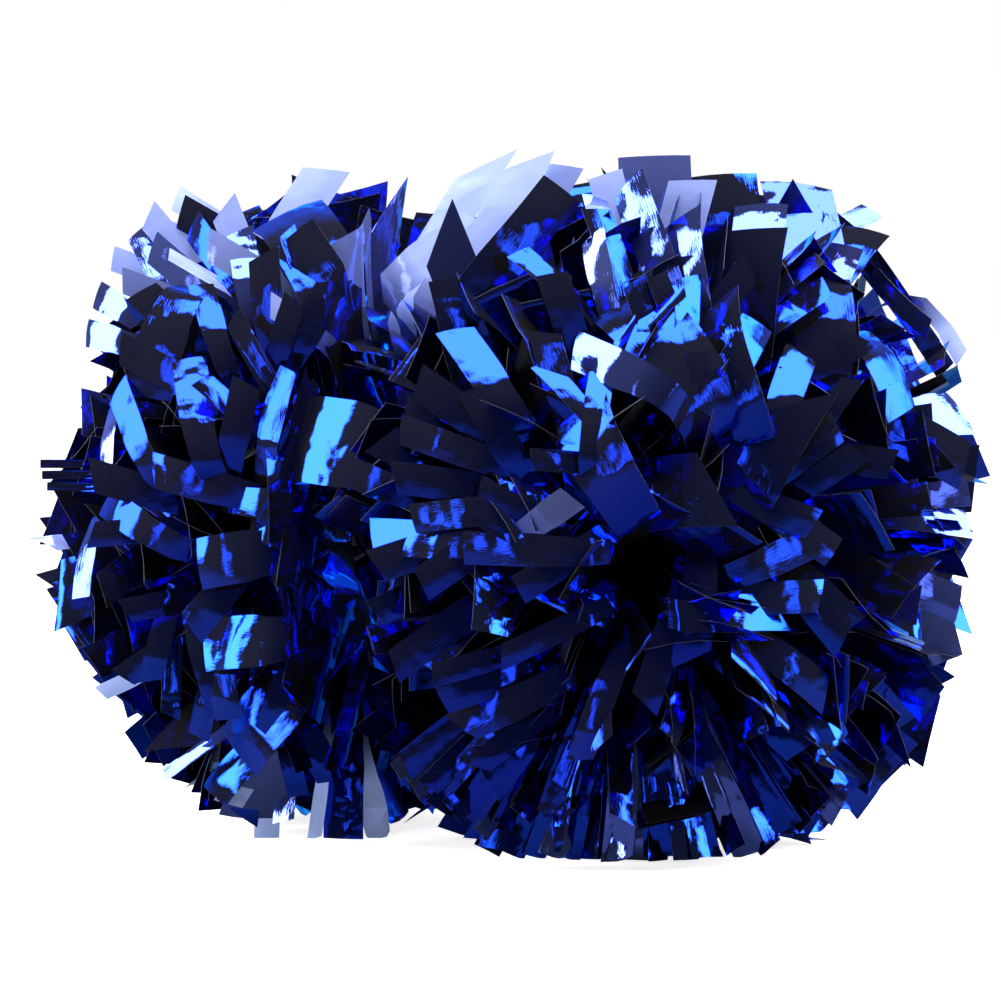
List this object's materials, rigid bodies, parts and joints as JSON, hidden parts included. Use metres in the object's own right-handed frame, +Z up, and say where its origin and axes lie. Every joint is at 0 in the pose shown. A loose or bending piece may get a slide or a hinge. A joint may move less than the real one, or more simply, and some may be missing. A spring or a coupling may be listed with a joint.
{
  "type": "cheer pom pom",
  "caption": "Baton-handled cheer pom pom: a short plastic grip with a ball of metallic blue foil streamers tied round each end.",
  "frame": {"origin": "on the table under the middle of the pom pom's box, as it rests", "axes": "+X along the baton towards the right tuft, +Z up"},
  "size_m": [0.3261, 0.2474, 0.2367],
  "materials": {
    "blue_foil": "metallised mirror film, crinkled",
    "baton_tube": "moulded, satin",
    "baton_fittings": "moulded, low gloss",
    "nylon_tie": "moulded nylon",
    "cloth_tape": "woven cloth tape"
  },
  "bodies": {
    "baton": {"grip_tube": "baton_tube", "left_retaining_ring": "baton_fittings", "right_retaining_ring": "baton_fittings", "left_end_cap": "baton_fittings", "right_end_cap": "baton_fittings", "left_neck_tape": "cloth_tape", "right_neck_tape": "cloth_tape"},
    "left_tie": {"left_cable_tie": "nylon_tie"},
    "right_tie": {"right_cable_tie": "nylon_tie"},
    "left_tuft": {"left_streamer_bundle_01": "blue_foil", "left_streamer_bundle_02": "blue_foil", "left_streamer_bundle_03": "blue_foil", "left_streamer_bundle_04": "blue_foil", "left_streamer_bundle_05": "blue_foil", "left_streamer_bundle_06": "blue_foil", "left_streamer_bundle_07": "blue_foil", "left_streamer_bundle_08": "blue_foil", "left_streamer_bundle_09": "blue_foil", "left_streamer_bundle_10": "blue_foil", "left_streamer_bundle_11": "blue_foil", "left_streamer_bundle_12": "blue_foil"},
    "right_tuft": {"right_streamer_bundle_01": "blue_foil", "right_streamer_bundle_02": "blue_foil", "right_streamer_bundle_03": "blue_foil", "right_streamer_bundle_04": "blue_foil", "right_streamer_bundle_05": "blue_foil", "right_streamer_bundle_06": "blue_foil", "right_streamer_bundle_07": "blue_foil", "right_streamer_bundle_08": "blue_foil", "right_streamer_bundle_09": "blue_foil", "right_streamer_bundle_10": "blue_foil", "right_streamer_bundle_11": "blue_foil", "right_streamer_bundle_12": "blue_foil"}
  },
  "joints": [
    {"name": "right_tuft_turn", "type": "hinge", "parent": "baton", "child": "right_tie", "pos_m": [0.0565, 0, 0.113], "axis": [1, 0, 0], "continuous": true},
    {"name": "right_tuft_sway", "type": "hinge", "parent": "right_tie", "child": "right_tuft", "pos_m": [0.0565, 0, 0.113], "axis": [0, 1, 0], "range_deg": [-5, 5], "stiffness_Nm_per_rad": 1},
    {"name": "left_tuft_turn", "type": "hinge", "parent": "baton", "child": "left_tie", "pos_m": [-0.0715, 0, 0.113], "axis": [1, 0, 0], "continuous": true},
    {"name": "left_tuft_sway", "type": "hinge", "parent": "left_tie", "child": "left_tuft", "pos_m": [-0.0715, 0, 0.113], "axis": [0, 1, 0], "range_deg": [-5, 5], "stiffness_Nm_per_rad": 1}
  ]
}
